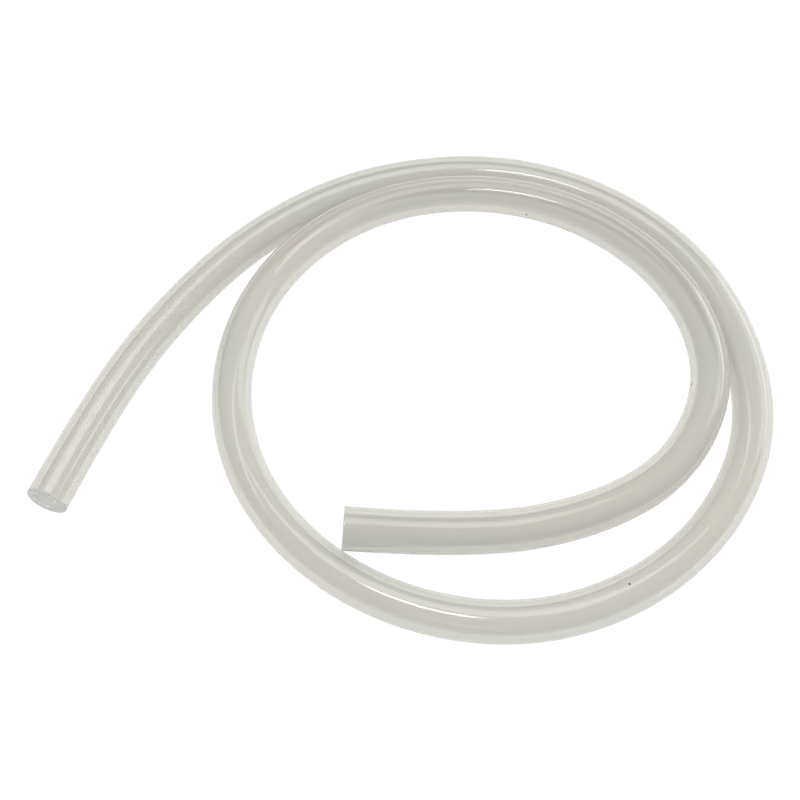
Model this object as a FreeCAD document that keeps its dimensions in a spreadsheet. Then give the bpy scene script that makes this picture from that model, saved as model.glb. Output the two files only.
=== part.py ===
# Siphon hose: one cut length of clear flexible PVC tubing, lying loosely coiled on a flat surface.
# Millimetres. Z is up and z = 0 is the surface. The origin is under the middle of the hose's outline.

import FreeCAD, Part
import math
import os

# The middle line of the hose, from the inlet end to the outlet end. Each point is (x, y, z).
# Tangent arcs round off every corner, so the line itself passes a little inside each point.
INLET_TAIL = [
    (-107.5, -47.5, 6.35),
    (-95.5, -11.0, 6.35),
    (-77.0, 25.0, 6.35),
    (-52.0, 57.0, 6.35),
]
# Once round on the surface, clockwise as seen from above.
LOWER_TURN = [
    (-17.5, 80.5, 6.35),
    (26.0, 88.0, 6.35),
    (64.5, 76.0, 6.35),
    (93.5, 49.0, 6.35),
    (107.0, 14.5, 6.35),
    (107.5, -21.5, 6.35),
    (92.5, -53.0, 6.35),
    (67.5, -76.0, 6.35),
    (35.0, -87.5, 6.35),
    (0.0, -83.5, 6.35),
    (-30.0, -66.0, 6.35),
    (-50.5, -38.0, 6.35),
    (-57.5, -4.0, 6.35),
    (-50.5, 30.0, 6.35),
]
# The second turn lies inside the first and leans on its shoulder.
UPPER_TURN = [
    (-31.5, 56.5, 7.2),
    (-4.5, 71.0, 9.2),
    (26.5, 74.5, 9.6),
    (57.0, 65.0, 10.0),
    (80.5, 44.5, 10.5),
    (94.0, 17.0, 11.2),
    (94.5, -12.0, 10.8),
    (79.0, -40.0, 10.8),
]
# The outlet end crosses the loop and rests on its near side.
OUTLET_TAIL = [
    (51.5, -56.5, 12.2),
    (16.5, -64.0, 14.8),
    (-19.0, -62.5, 17.5),
]

# Driving dimensions, in millimetres: alias and value.
DRIVING_SIZES = [
    ("outer_diameter", 12.7),
    ("bore_diameter", 7.9),
]

ARC_SHARE = 0.45  # how much of the shorter run beside a corner its arc takes up
VOLUME_TOLERANCE = 0.005  # allowed difference between the swept volume and section times length


def make_sizes(doc):
    """Return the spreadsheet that holds the driving dimensions."""
    sheet = doc.addObject("Spreadsheet::Sheet", "Sizes")
    for row, (alias, value) in enumerate(DRIVING_SIZES, start=1):
        sheet.set(f"A{row}", alias)
        sheet.set(f"B{row}", str(value))
        sheet.setAlias(f"B{row}", alias)
    doc.recompute()
    return sheet


def corner_arc(before, corner, after):
    """Return the arc that rounds a corner of the middle line, and its radius."""
    back = before - corner
    ahead = after - corner
    reach = ARC_SHARE * min(back.Length, ahead.Length)
    half_turn = (math.pi - back.getAngle(ahead)) / 2
    radius = reach / math.tan(half_turn)
    back.normalize()
    ahead.normalize()
    inward = (back + ahead).normalize()
    to_middle = radius / math.cos(half_turn) - radius
    start = corner + back * reach
    middle = corner + inward * to_middle
    end = corner + ahead * reach
    return Part.Arc(start, middle, end), radius


def rounded_line(points):
    """Return a wire of straight runs joined by tangent arcs, and the radius of each arc."""
    corners = [FreeCAD.Vector(*point) for point in points]
    edges = []
    radii = []
    run_start = corners[0]
    for before, corner, after in zip(corners, corners[1:], corners[2:]):
        arc, radius = corner_arc(before, corner, after)
        edges.append(Part.LineSegment(run_start, arc.StartPoint).toShape())
        edges.append(arc.toShape())
        radii.append(radius)
        run_start = arc.EndPoint
    edges.append(Part.LineSegment(run_start, corners[-1]).toShape())
    return Part.Wire(edges), radii


def make_middle_line(doc):
    """Add the hose's middle line and print its length and radii."""
    points = INLET_TAIL + LOWER_TURN + UPPER_TURN + OUTLET_TAIL
    wire, radii = rounded_line(points)
    line = doc.addObject("Part::Feature", "middle_line")
    line.Shape = wire
    print(f"middle line {wire.Length:.1f} mm, arcs of radius", [round(radius, 1) for radius in radii])
    return line


def make_section(doc, name, diameter_alias, edge):
    """Add a circle across the start of an edge of the middle line, its size bound to the sheet."""
    start = edge.valueAt(edge.FirstParameter)
    along = edge.tangentAt(edge.FirstParameter)
    circle = doc.addObject("Part::Circle", name)
    circle.setExpression("Radius", f"Sizes.{diameter_alias} / 2")
    circle.Placement = FreeCAD.Placement(start, FreeCAD.Rotation(FreeCAD.Vector(0, 0, 1), along))
    return circle


def make_sweep(doc, name, diameter_alias, line, edge_numbers):
    """Add the solid that a circle makes along some edges of the middle line."""
    first_edge = line.Shape.Edges[edge_numbers[0] - 1]
    sweep = doc.addObject("Part::Sweep", f"{name}_sweep")
    sweep.Sections = [make_section(doc, f"{name}_section", diameter_alias, first_edge)]
    sweep.Spine = (line, [f"Edge{number}" for number in edge_numbers])
    sweep.Solid = True
    sweep.Frenet = False
    return sweep


def make_stretch(doc, name, line, edge_numbers):
    """Add one stretch of the hose: its outer sweep with its bore sweep cut out."""
    stretch = doc.addObject("Part::Cut", name)
    stretch.Base = make_sweep(doc, f"{name}_outer", "outer_diameter", line, edge_numbers)
    stretch.Tool = make_sweep(doc, f"{name}_bore", "bore_diameter", line, edge_numbers)
    return stretch


def make_hose(doc, line):
    """Add the hose as three stretches that meet face to face: both straight ends and the lay between."""
    numbers = list(range(1, len(line.Shape.Edges) + 1))
    hose = doc.addObject("Part::Compound", "siphon_hose")
    hose.Label = "siphon_hose"
    hose.Links = [
        make_stretch(doc, "inlet_end", line, numbers[:1]),
        make_stretch(doc, "lay", line, numbers[1:-1]),
        make_stretch(doc, "outlet_end", line, numbers[-1:]),
    ]
    hose.Placement = FreeCAD.Placement()
    doc.recompute()
    return hose


def check_objects(doc):
    """Stop if any object of the document failed to compute."""
    for item in doc.Objects:
        if "Invalid" in item.State or "Error" in item.State:
            raise RuntimeError(f"{item.Name} did not compute: {item.State}")


def check_hose(hose, line, sheet):
    """Stop if the hose isn't valid, or its volume isn't its section times its length."""
    shape = hose.Shape
    if shape.isNull() or not shape.isValid() or len(shape.Solids) != len(hose.Links):
        raise RuntimeError("the hose is not made of valid solids")
    section = math.pi / 4 * (sheet.outer_diameter ** 2 - sheet.bore_diameter ** 2)
    expected = section * line.Shape.Length
    print(f"hose volume {shape.Volume:.0f} mm3, section times length {expected:.0f} mm3")
    if abs(shape.Volume / expected - 1) > VOLUME_TOLERANCE:
        raise RuntimeError("the hose's volume is not its section times its length")


def write_node(item):
    """Write a sub-part's shape to the file that its Label names."""
    os.makedirs("parts", exist_ok=True)
    item.Shape.exportStep(f"parts/{item.Label}.step")
    box = item.Shape.optimalBoundingBox()
    print(f"{item.Label}: x {box.XMin:.2f} to {box.XMax:.2f}, y {box.YMin:.2f} to {box.YMax:.2f},"
          f" z {box.ZMin:.2f} to {box.ZMax:.2f}")


document = FreeCAD.newDocument("siphon_hose")
sizes = make_sizes(document)
middle_line = make_middle_line(document)
siphon_hose = make_hose(document, middle_line)
check_objects(document)
check_hose(siphon_hose, middle_line, sizes)
write_node(siphon_hose)
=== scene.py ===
"""Looks of the siphon hose: one length of clear, milky PVC tubing, loosely coiled on a pale floor."""

import math

import bpy
import numpy as np
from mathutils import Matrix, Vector


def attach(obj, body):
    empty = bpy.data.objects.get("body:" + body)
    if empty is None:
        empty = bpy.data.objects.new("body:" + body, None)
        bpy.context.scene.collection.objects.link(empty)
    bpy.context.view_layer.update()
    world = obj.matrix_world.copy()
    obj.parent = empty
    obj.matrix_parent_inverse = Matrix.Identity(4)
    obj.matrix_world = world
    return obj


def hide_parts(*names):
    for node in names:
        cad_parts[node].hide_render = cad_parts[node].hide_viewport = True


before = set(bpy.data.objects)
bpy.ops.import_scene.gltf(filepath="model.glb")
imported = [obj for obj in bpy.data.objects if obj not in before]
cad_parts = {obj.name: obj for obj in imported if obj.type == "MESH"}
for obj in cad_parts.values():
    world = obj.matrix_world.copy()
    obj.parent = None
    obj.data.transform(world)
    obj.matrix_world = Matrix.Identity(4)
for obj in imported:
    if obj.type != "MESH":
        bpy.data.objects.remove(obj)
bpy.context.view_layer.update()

# ---------------------------------------------------------------- driving sizes, in metres
OUTER_DIAMETER = 0.0127
BORE_DIAMETER = 0.0079

# The hose's route: the control points of its middle line, from the inlet end to the outlet end.
ROUTE = [
    # inlet tail
    (-0.1075, -0.0475, 0.00635),
    (-0.0955, -0.0110, 0.00635),
    (-0.0770, 0.0250, 0.00635),
    (-0.0520, 0.0570, 0.00635),
    # lower turn, on the floor
    (-0.0175, 0.0805, 0.00635),
    (0.0260, 0.0880, 0.00635),
    (0.0645, 0.0760, 0.00635),
    (0.0935, 0.0490, 0.00635),
    (0.1070, 0.0145, 0.00635),
    (0.1075, -0.0215, 0.00635),
    (0.0925, -0.0530, 0.00635),
    (0.0675, -0.0760, 0.00635),
    (0.0350, -0.0875, 0.00635),
    (0.0000, -0.0835, 0.00635),
    (-0.0300, -0.0660, 0.00635),
    (-0.0505, -0.0380, 0.00635),
    (-0.0575, -0.0040, 0.00635),
    (-0.0505, 0.0300, 0.00635),
    # upper turn, leaning on the lower one
    (-0.0315, 0.0565, 0.0072),
    (-0.0045, 0.0710, 0.0092),
    (0.0265, 0.0745, 0.0096),
    (0.0570, 0.0650, 0.0100),
    (0.0805, 0.0445, 0.0105),
    (0.0940, 0.0170, 0.0112),
    (0.0945, -0.0120, 0.0108),
    (0.0790, -0.0400, 0.0108),
    # outlet tail, resting on the near side of the loop
    (0.0515, -0.0565, 0.0122),
    (0.0165, -0.0640, 0.0148),
    (-0.0190, -0.0625, 0.0175),
]

STEPS_PER_POINT = 21  # points of the smooth line for each point of the route
AROUND = 80  # points round the hose's section
RIM_ROUND = 0.00018  # how far the cut edges are rounded over
RIM_INSETS = [RIM_ROUND, 0.00040, 0.00100]  # the first rings after a cut
RIM_RINGS = 7  # rings across a cut face
BEND_NARROWING = 0.045  # how much a bend narrows the section in its own plane, at the radius below
NARROWING_RADIUS = 0.056
SOFTENING = 30  # points on each side over which the narrowing is evened out
DIAMETER_WANDER = 0.004  # how much the drawn-off diameter wanders along the hose
WANDER_WAVES = (41.0, 17.0)  # the two waves that make up the wander, in radians per metre
WANDER_START = 1.0  # where the second wave starts, in radians
LEAST_BEND = 1e-9  # keeps the division by the bend finite on a straight run

# ---------------------------------------------------------------- material values

PVC_IOR = 1.53
WALL_TINT_PAINTED_COOL_LIGHT = (0.870, 0.890, 0.835)  # the outer wall drifts between these two tints: its own faint tint, with painted cool and warm room light laid on at random along the hose
WALL_TINT_PAINTED_WARM_LIGHT = (0.950, 0.900, 0.840)
BORE_TINT_PAINTED_COOL_LIGHT = (0.95, 0.95, 0.94)  # and the bore between these, with the same painted cool and warm light, fainter
BORE_TINT_PAINTED_WARM_LIGHT = (0.96, 0.95, 0.93)
WALL_CLEARNESS = 0.60  # the rest is milky
BORE_CLEARNESS = 1.0
WALL_ROUGHNESS = 0.09
BORE_ROUGHNESS = 0.05
HAZE_COLOUR = (0.50, 0.49, 0.44)  # what the wall lets through
HAZE_DENSITY = 41.0  # how strongly the wall dims the light that crosses it

# A pattern's stretch is its number of units in one circumference along the hose. Round it has 2 pi.
LINE_STRETCH = 0.012
LINE_SCALE = 6.0
LINE_HEIGHT = 0.015  # height of the fine die lines against the slow ripple
RIPPLE_STRETCH = 0.3
RIPPLE_SCALE = 1.3
BUMP_STRENGTH = 0.05
BUMP_DEPTH = 0.0003

# the drift of the painted cool and warm light along the hose
DRIFT_STRETCH = 0.5
DRIFT_SCALE = 0.7
DRIFT_RANGE = (0.35, 0.65)  # the part of the noise that takes one tint over to the other

SPECK_COLOUR = (0.20, 0.17, 0.13)
SPECK_STRETCH = 6.28  # as much as round it, so the specks are round
SPECK_SCALE = 1.1
SPECK_RADIUS = 0.09  # of the specks in the wall, in their pattern's cells
SPECK_SHARE = 0.05  # share of the cells that hold a speck

CUT_COLOUR = (0.88, 0.88, 0.84)
CUT_CLEARNESS = 0.50
CUT_ROUGHNESS = 0.35
SAW_SCALE = 1500.0
SAW_STRENGTH = 0.4
SAW_DEPTH = 0.0002

FLOOR_COLOUR = (0.12, 0.12, 0.12)
FLOOR_ROUGHNESS = 0.9
FLOOR_GLOW = 0.99
WHITE = (1.0, 1.0, 1.0)

# ---------------------------------------------------------------- stage values

FLOOR_HALF = 4.0  # metres
HORIZON_LIGHT = 0.44  # strength of the room's light, level with the floor and overhead
ZENITH_LIGHT = 0.60
ZENITH_FROM = 0.9  # height of the direction from which the light is as strong as overhead
ROOM_COLOUR = (1.0, 0.995, 0.975)

# Each light faces the origin: name, place in metres, size in metres, power in watts, shape.
LIGHTS = [
    ("ceiling", (0.05, 0.24, 1.10), (0.80, 0.55), 3.3, "RECTANGLE"),
    ("key", (-0.12, -0.16, 1.00), (0.40, 0.11), 1.9, "ELLIPSE"),
    ("window", (1.10, 0.70, 0.60), (0.90, 0.70), 3.2, "RECTANGLE"),
]

CAMERA_PLACE = (-0.00292, -0.22885, 0.32880)
CAMERA_PITCH = 56.0  # degrees below level
CAMERA_LENS = 56.06  # millimetres, on the sensor below
CAMERA_SENSOR = 36.0

# ---------------------------------------------------------------- slot and socket numbers

OUTSIDE, BORE, CUT_FACE = 0, 1, 2  # the mesh's material slots
MIX_FIRST, MIX_SECOND, MIX_RESULT = 6, 7, 2  # the colour sockets of a Mix node

# ---------------------------------------------------------------- node helpers


def new_material(name):
    """Return an empty node material, its node tree and its output node."""
    material = bpy.data.materials.new(name)
    material.use_nodes = True
    tree = material.node_tree
    tree.nodes.clear()
    return material, tree, tree.nodes.new("ShaderNodeOutputMaterial")


def add_node(tree, kind, inputs=None, **settings):
    """Add a node with its settings and inputs. An input is a value or another node's output."""
    node = tree.nodes.new(kind)
    for name, value in settings.items():
        setattr(node, name, value)
    for key, value in (inputs or {}).items():
        if isinstance(value, bpy.types.NodeSocket):
            tree.links.new(value, node.inputs[key])
        else:
            node.inputs[key].default_value = value
    return node


def calculate(tree, operation, first, second=0.0):
    """Add a maths node and return its output."""
    return add_node(tree, "ShaderNodeMath", {0: first, 1: second}, operation=operation).outputs[0]


def mix_colours(tree, factor, first, second):
    """Add a node that mixes two colours and return its output."""
    return add_node(tree, "ShaderNodeMix", {
        "Factor": factor, MIX_FIRST: first, MIX_SECOND: second,
    }, data_type="RGBA").outputs[MIX_RESULT]


def opaque(colour):
    """Return the colour with full alpha."""
    return (*colour, 1.0)


# ---------------------------------------------------------------- the middle line


def smooth_line(points, steps):
    """Return the points of the quadratic NURBS line whose control points are the route."""
    curve = bpy.data.curves.new("middle_line", "CURVE")
    curve.dimensions = "3D"
    spline = curve.splines.new("NURBS")
    spline.points.add(len(points) - 1)
    for point, place in zip(spline.points, points):
        point.co = (*place, 1.0)
    spline.order_u = 3
    spline.use_endpoint_u = True
    spline.resolution_u = steps
    holder = bpy.data.objects.new("middle_line", curve)
    bpy.context.collection.objects.link(holder)
    bpy.context.view_layer.update()
    mesh = bpy.data.meshes.new_from_object(holder)
    line = np.array([vertex.co[:] for vertex in mesh.vertices])
    bpy.data.objects.remove(holder)
    bpy.data.curves.remove(curve)
    bpy.data.meshes.remove(mesh)
    return line


def unit(vectors):
    """Return the vectors at length one."""
    return vectors / np.linalg.norm(vectors, axis=-1, keepdims=True)


def line_frames(line):
    """Return the tangents of the line, and two directions across it that never twist."""
    tangents = unit(np.gradient(line, axis=0))
    side = unit(np.cross(tangents[0], (0.0, 0.0, 1.0)))
    sides = []
    for tangent in tangents:
        side = unit(side - tangent * np.dot(side, tangent))
        sides.append(side)
    sides = np.array(sides)
    return tangents, sides, np.cross(sides, tangents)


def line_lengths(line):
    """Return how far along the line each of its points is."""
    return np.concatenate([[0.0], np.cumsum(np.linalg.norm(np.diff(line, axis=0), axis=1))])


# ---------------------------------------------------------------- the hose's mesh


def section_scales(tangents, lengths):
    """Return for each point the inward bend direction and how much the section narrows along it."""
    turning = np.gradient(tangents, lengths, axis=0)
    bend = np.linalg.norm(turning, axis=1)
    inward = turning / np.maximum(bend, LEAST_BEND)[:, None]
    window = 2 * SOFTENING + 1
    padded = np.pad(bend, SOFTENING, mode="edge")
    soft_bend = np.convolve(padded, np.ones(window) / window, mode="valid")
    return inward, BEND_NARROWING * np.minimum(soft_bend * NARROWING_RADIUS, 1.0) ** 2


def ring(centre, side, rise, radius, inward, narrowing):
    """Return the points of one section, narrowed in the plane of the bend."""
    angles = np.linspace(0.0, 2.0 * math.pi, AROUND, endpoint=False)
    spokes = np.outer(np.cos(angles), side) + np.outer(np.sin(angles), rise)
    spokes -= np.outer(spokes @ inward, inward) * narrowing
    return centre + spokes * radius


def stations(line):
    """Return where the rings stand: each a point of the line and how far it's set in from the cut there."""
    last = len(line) - 1
    start = [(0, inset) for inset in RIM_INSETS]
    end = [(last, inset) for inset in RIM_INSETS[::-1]]
    return start + [(i, 0.0) for i in range(1, last)] + end


def hose_rings(line):
    """Return the closed run of rings, and how many of them the outside has. The bore has as many."""
    tangents, sides, rises = line_frames(line)
    lengths = line_lengths(line)
    inward, narrowing = section_scales(tangents, lengths)
    first_wave = np.sin(lengths * WANDER_WAVES[0])
    second_wave = np.sin(lengths * WANDER_WAVES[1] + WANDER_START)
    wander = 1.0 + DIAMETER_WANDER * first_wave * second_wave
    outer = OUTER_DIAMETER / 2
    bore = BORE_DIAMETER / 2
    last = len(line) - 1

    def at(index, inset, radius):
        """Return the ring at a point of the line, set in from the cut there."""
        centre = line[index] + tangents[index] * (inset if index == 0 else -inset)
        return ring(centre, sides[index], rises[index], radius, inward[index], narrowing[index])

    places = stations(line)
    outside = [at(i, inset, outer * wander[i]) for i, inset in places]
    inside = [at(i, inset, bore * wander[i]) for i, inset in places]
    radii = np.linspace(outer - RIM_ROUND, bore + RIM_ROUND, RIM_RINGS)
    outlet_rim = [at(last, 0.0, radius * wander[last]) for radius in radii]
    inlet_rim = [at(0, 0.0, radius * wander[0]) for radius in radii[::-1]]
    return outside + outlet_rim + inside[::-1] + inlet_rim, len(places)


def build_hose(line):
    """Build the hose as one closed mesh tube with a real bore."""
    rings, side_count = hose_rings(line)
    faces = []
    for i in range(len(rings)):
        here = i * AROUND
        there = ((i + 1) % len(rings)) * AROUND
        for j in range(AROUND):
            k = (j + 1) % AROUND
            faces.append((here + j, there + j, there + k, here + k))
    mesh = bpy.data.meshes.new("siphon_hose")
    mesh.from_pydata(np.concatenate(rings).tolist(), [], faces)
    mesh.shade_smooth()
    lay_out(mesh, line, side_count)
    hose = bpy.data.objects.new("siphon_hose_skin", mesh)
    bpy.context.collection.objects.link(hose)
    return hose


def lay_out(mesh, line, side_count):
    """Give the faces their UVs, U once round the section and V along the line, and their materials."""
    total = line_lengths(line)[-1]
    along_side = [line_lengths(line)[i] + (inset if i == 0 else -inset) for i, inset in stations(line)]
    rim_step = (OUTER_DIAMETER - BORE_DIAMETER) / 2 / RIM_RINGS
    rim = [total + rim_step * i for i in range(RIM_RINGS)]
    back = [2 * total - place for place in along_side[::-1]]
    other_rim = [2 * total + rim_step * i for i in range(RIM_RINGS + 1)]
    along = np.array(along_side + rim + back + other_rim) / (math.pi * OUTER_DIAMETER)
    numbers = np.arange(len(mesh.polygons))
    row = numbers // AROUND
    column = numbers % AROUND
    coords = np.empty((len(mesh.polygons), 4, 2))
    coords[:, 0] = np.stack([column / AROUND, along[row]], -1)
    coords[:, 1] = np.stack([column / AROUND, along[row + 1]], -1)
    coords[:, 2] = np.stack([(column + 1) / AROUND, along[row + 1]], -1)
    coords[:, 3] = np.stack([(column + 1) / AROUND, along[row]], -1)
    layer = mesh.uv_layers.new(name="around_and_along")
    layer.uv.foreach_set("vector", coords.reshape(-1))
    first_bore = side_count + RIM_RINGS
    slots = np.full(len(mesh.polygons), CUT_FACE)
    slots[row < side_count - 1] = OUTSIDE
    slots[(row >= first_bore) & (row < first_bore + side_count - 1)] = BORE
    mesh.polygons.foreach_set("material_index", slots.tolist())


# ---------------------------------------------------------------- materials


def round_coordinates(tree, stretch):
    """Return coordinates that run round the section without a seam and are stretched along the hose."""
    uv = add_node(tree, "ShaderNodeUVMap", uv_map="around_and_along").outputs[0]
    split = add_node(tree, "ShaderNodeSeparateXYZ", {0: uv})
    angle = calculate(tree, "MULTIPLY", split.outputs[0], 2.0 * math.pi)
    return add_node(tree, "ShaderNodeCombineXYZ", {
        0: calculate(tree, "COSINE", angle),
        1: calculate(tree, "SINE", angle),
        2: calculate(tree, "MULTIPLY", split.outputs[1], stretch),
    }).outputs[0]


def bumps(tree):
    """Return the normal of a drawn surface: fine die lines along the hose and a slow ripple."""
    lines = add_node(tree, "ShaderNodeTexNoise", {
        "Vector": round_coordinates(tree, LINE_STRETCH), "Scale": LINE_SCALE, "Detail": 2.0,
    }).outputs["Fac"]
    ripple = add_node(tree, "ShaderNodeTexNoise", {
        "Vector": round_coordinates(tree, RIPPLE_STRETCH), "Scale": RIPPLE_SCALE, "Detail": 1.0,
    }).outputs["Fac"]
    height = calculate(tree, "ADD", calculate(tree, "MULTIPLY", lines, LINE_HEIGHT), ripple)
    return add_node(tree, "ShaderNodeBump", {
        "Strength": BUMP_STRENGTH, "Distance": BUMP_DEPTH, "Height": height,
    }).outputs[0]


def painted_light_drift_and_specks(tree, first, second):
    """Return a colour that drifts slowly between two tints along the hose, a painted drift of cool and warm
    reflected light, with a few tiny dark specks of dirt.
    """
    drift = add_node(tree, "ShaderNodeTexNoise", {
        "Vector": round_coordinates(tree, DRIFT_STRETCH), "Scale": DRIFT_SCALE, "Detail": 2.0,
    }).outputs["Fac"]
    amount = add_node(tree, "ShaderNodeMapRange", {
        "Value": drift, "From Min": DRIFT_RANGE[0], "From Max": DRIFT_RANGE[1],
    }).outputs[0]
    # painted light: the tint drifts at random between cool and warm reflected room light
    tint = mix_colours(tree, amount, opaque(first), opaque(second))
    cells = add_node(tree, "ShaderNodeTexVoronoi", {
        "Vector": round_coordinates(tree, SPECK_STRETCH), "Scale": SPECK_SCALE,
    })
    near = calculate(tree, "LESS_THAN", cells.outputs["Distance"], SPECK_RADIUS)
    chance = add_node(tree, "ShaderNodeSeparateXYZ", {0: cells.outputs["Color"]}).outputs[0]
    speck = calculate(tree, "MULTIPLY", near, calculate(tree, "LESS_THAN", chance, SPECK_SHARE))
    return mix_colours(tree, speck, tint, opaque(SPECK_COLOUR))


def make_pvc(name, first, second, clearness, roughness):
    """Soft PVC, part glassy and part milky, whose wall dims the light that crosses it."""
    material, tree, output = new_material(name)
    surface = add_node(tree, "ShaderNodeBsdfPrincipled", {
        # the base colour carries the painted drift of cool and warm light and the dirt specks
        "Base Color": painted_light_drift_and_specks(tree, first, second),
        "Roughness": roughness,
        "IOR": PVC_IOR,
        "Transmission Weight": clearness,
        "Normal": bumps(tree),
    })
    wall = add_node(tree, "ShaderNodeVolumeAbsorption", {
        "Color": opaque(HAZE_COLOUR), "Density": HAZE_DENSITY,
    })
    tree.links.new(surface.outputs[0], output.inputs["Surface"])
    tree.links.new(wall.outputs[0], output.inputs["Volume"])
    return material


def make_cut_face():
    """The sawn end of the tube: the same PVC, frosted by the blade."""
    material, tree, output = new_material("cut_pvc")
    place = add_node(tree, "ShaderNodeTexCoord").outputs["Object"]
    marks = add_node(tree, "ShaderNodeTexNoise", {
        "Vector": place, "Scale": SAW_SCALE, "Detail": 3.0,
    }).outputs["Fac"]
    bump = add_node(tree, "ShaderNodeBump", {
        "Strength": SAW_STRENGTH, "Distance": SAW_DEPTH, "Height": marks,
    })
    frosted = add_node(tree, "ShaderNodeBsdfPrincipled", {
        "Base Color": opaque(CUT_COLOUR),
        "Roughness": CUT_ROUGHNESS,
        "IOR": PVC_IOR,
        "Transmission Weight": CUT_CLEARNESS,
        "Normal": bump.outputs[0],
    })
    tree.links.new(frosted.outputs[0], output.inputs["Surface"])
    return material


def make_floor_material():
    """Matt floor that glows an even white, like a light table."""
    material, tree, output = new_material("light_table")
    matt = add_node(tree, "ShaderNodeBsdfPrincipled", {
        "Base Color": opaque(FLOOR_COLOUR),
        "Roughness": FLOOR_ROUGHNESS,
        "Emission Color": opaque(WHITE),
        "Emission Strength": FLOOR_GLOW,
    })
    tree.links.new(matt.outputs[0], output.inputs["Surface"])
    return material


# ---------------------------------------------------------------- stage, lights and camera


def make_floor():
    """Add the floor that the hose lies on."""
    corners = [
        (-FLOOR_HALF, -FLOOR_HALF, 0.0),
        (FLOOR_HALF, -FLOOR_HALF, 0.0),
        (FLOOR_HALF, FLOOR_HALF, 0.0),
        (-FLOOR_HALF, FLOOR_HALF, 0.0),
    ]
    mesh = bpy.data.meshes.new("floor")
    mesh.from_pydata(corners, [], [(0, 1, 2, 3)])
    mesh.materials.append(make_floor_material())
    floor = bpy.data.objects.new("floor", mesh)
    bpy.context.collection.objects.link(floor)


def make_light(name, place, size, power, shape):
    """Add a soft light that faces the origin."""
    data = bpy.data.lights.new(name, "AREA")
    data.shape = shape
    data.size, data.size_y = size
    data.energy = power
    light = bpy.data.objects.new(name, data)
    light.location = place
    light.rotation_euler = (-Vector(place)).to_track_quat("-Z", "Y").to_euler()
    bpy.context.collection.objects.link(light)


def make_world():
    """Add the even light of the room, darker towards the horizon."""
    world = bpy.data.worlds.new("room")
    bpy.context.scene.world = world
    world.use_nodes = True
    tree = world.node_tree
    direction = add_node(tree, "ShaderNodeTexCoord").outputs["Generated"]
    height = add_node(tree, "ShaderNodeSeparateXYZ", {0: direction}).outputs[2]
    strength = add_node(tree, "ShaderNodeMapRange", {
        "Value": height, "From Min": 0.0, "From Max": ZENITH_FROM,
        "To Min": HORIZON_LIGHT, "To Max": ZENITH_LIGHT,
    }, interpolation_type="SMOOTHSTEP").outputs[0]
    background = tree.nodes["Background"]
    background.inputs["Color"].default_value = opaque(ROOM_COLOUR)
    tree.links.new(strength, background.inputs["Strength"])


def make_lights():
    """Add the soft lights: a broad ceiling, the key that leaves the long highlights, and a window."""
    for name, place, size, power, shape in LIGHTS:
        make_light(name, place, size, power, shape)


def make_camera():
    """Add the camera: above the near side, looking down at the hose."""
    data = bpy.data.cameras.new("camera")
    data.sensor_width = CAMERA_SENSOR
    data.lens = CAMERA_LENS
    camera = bpy.data.objects.new("camera", data)
    camera.location = CAMERA_PLACE
    camera.rotation_euler = (math.pi / 2 - math.radians(CAMERA_PITCH), 0.0, 0.0)
    bpy.context.collection.objects.link(camera)
    bpy.context.scene.camera = camera


# ---------------------------------------------------------------- the scene

middle_line = smooth_line(ROUTE, STEPS_PER_POINT)
hose_piece = build_hose(middle_line)
for hose_material in (
    make_pvc("clear_pvc", WALL_TINT_PAINTED_COOL_LIGHT, WALL_TINT_PAINTED_WARM_LIGHT, WALL_CLEARNESS, WALL_ROUGHNESS),
    make_pvc("clear_pvc_bore", BORE_TINT_PAINTED_COOL_LIGHT, BORE_TINT_PAINTED_WARM_LIGHT, BORE_CLEARNESS, BORE_ROUGHNESS),
    make_cut_face(),
):
    hose_piece.data.materials.append(hose_material)
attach(hose_piece, "root")
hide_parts("siphon_hose")

make_floor()
make_world()
make_lights()
make_camera()
bpy.context.scene.view_settings.view_transform = "Standard"
